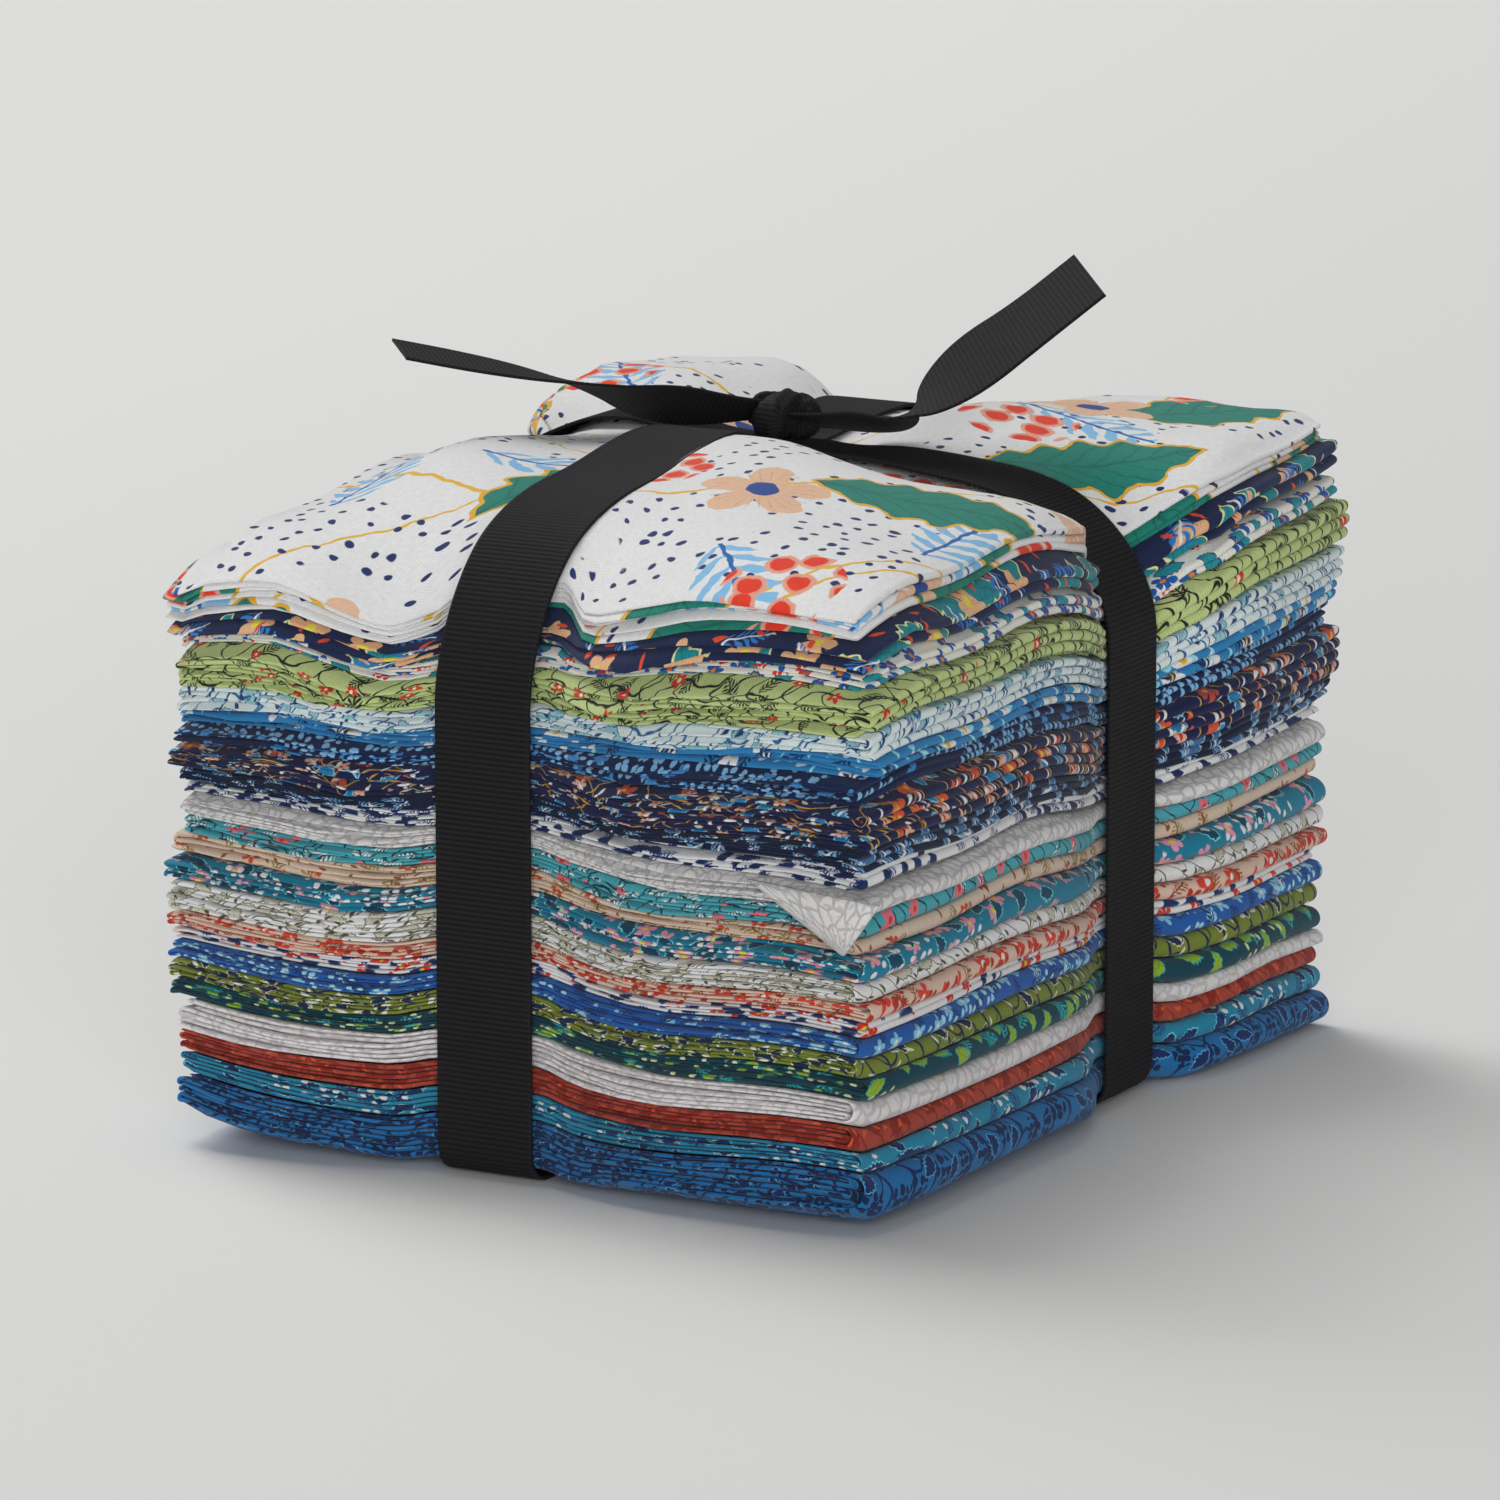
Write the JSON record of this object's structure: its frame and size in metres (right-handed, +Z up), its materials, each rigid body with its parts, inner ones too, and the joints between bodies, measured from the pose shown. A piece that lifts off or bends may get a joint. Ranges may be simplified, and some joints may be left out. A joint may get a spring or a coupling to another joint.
{
  "type": "fat quarter bundle",
  "caption": "Stack of folded printed cotton quarters tied up like a parcel with one black grosgrain ribbon, knotted on top with two free ends.",
  "frame": {"origin": "middle of the bounding box on the surface that the stack rests on", "axes": "+Z up, +Y along the rolled folds, +X across them towards the side where the rolled folds show"},
  "size_m": [0.1675, 0.2107, 0.1766],
  "materials": {
    "white_large_floral": "printed quilting cotton, matt",
    "navy_large_floral": "printed quilting cotton, matt",
    "cream_small_floral": "printed quilting cotton, matt",
    "sage_green_stems": "printed quilting cotton, matt",
    "pale_aqua_line": "printed quilting cotton, matt",
    "mid_blue_floral": "printed quilting cotton, matt",
    "navy_blue_dots": "printed quilting cotton, matt",
    "purple_navy_floral": "printed quilting cotton, matt",
    "dark_navy_leaves": "printed quilting cotton, matt",
    "white_navy_leaves": "printed quilting cotton, matt",
    "grey_tonal": "printed quilting cotton, matt",
    "aqua_line": "printed quilting cotton, matt",
    "peach_beige": "printed quilting cotton, matt",
    "teal_floral": "printed quilting cotton, matt",
    "white_olive_line": "printed quilting cotton, matt",
    "peach_red_floral": "printed quilting cotton, matt",
    "white_red_navy": "printed quilting cotton, matt",
    "royal_blue": "printed quilting cotton, matt",
    "olive_stems": "printed quilting cotton, matt",
    "dark_teal_leaves": "printed quilting cotton, matt",
    "light_grey_tonal": "printed quilting cotton, matt",
    "rust_tonal": "printed quilting cotton, matt",
    "turquoise_leaves": "printed quilting cotton, matt",
    "blue_berries": "printed quilting cotton, matt",
    "ribbon_black": "black grosgrain, ribbed, slight sheen"
  },
  "bodies": {
    "root": {"quarter_01": "white_large_floral", "quarter_02": "navy_large_floral", "quarter_03": "cream_small_floral", "quarter_04": "sage_green_stems", "quarter_05": "pale_aqua_line", "quarter_06": "mid_blue_floral", "quarter_07": "navy_blue_dots", "quarter_08": "purple_navy_floral", "quarter_09": "dark_navy_leaves", "quarter_10": "white_navy_leaves", "quarter_11": "grey_tonal", "quarter_12": "aqua_line", "quarter_13": "peach_beige", "quarter_14": "teal_floral", "quarter_15": "white_olive_line", "quarter_16": "peach_red_floral", "quarter_17": "white_red_navy", "quarter_18": "royal_blue", "quarter_19": "olive_stems", "quarter_20": "dark_teal_leaves", "quarter_21": "light_grey_tonal", "quarter_22": "rust_tonal", "quarter_23": "turquoise_leaves", "quarter_24": "blue_berries", "ribbon": "ribbon_black"}
  },
  "joints": []
}
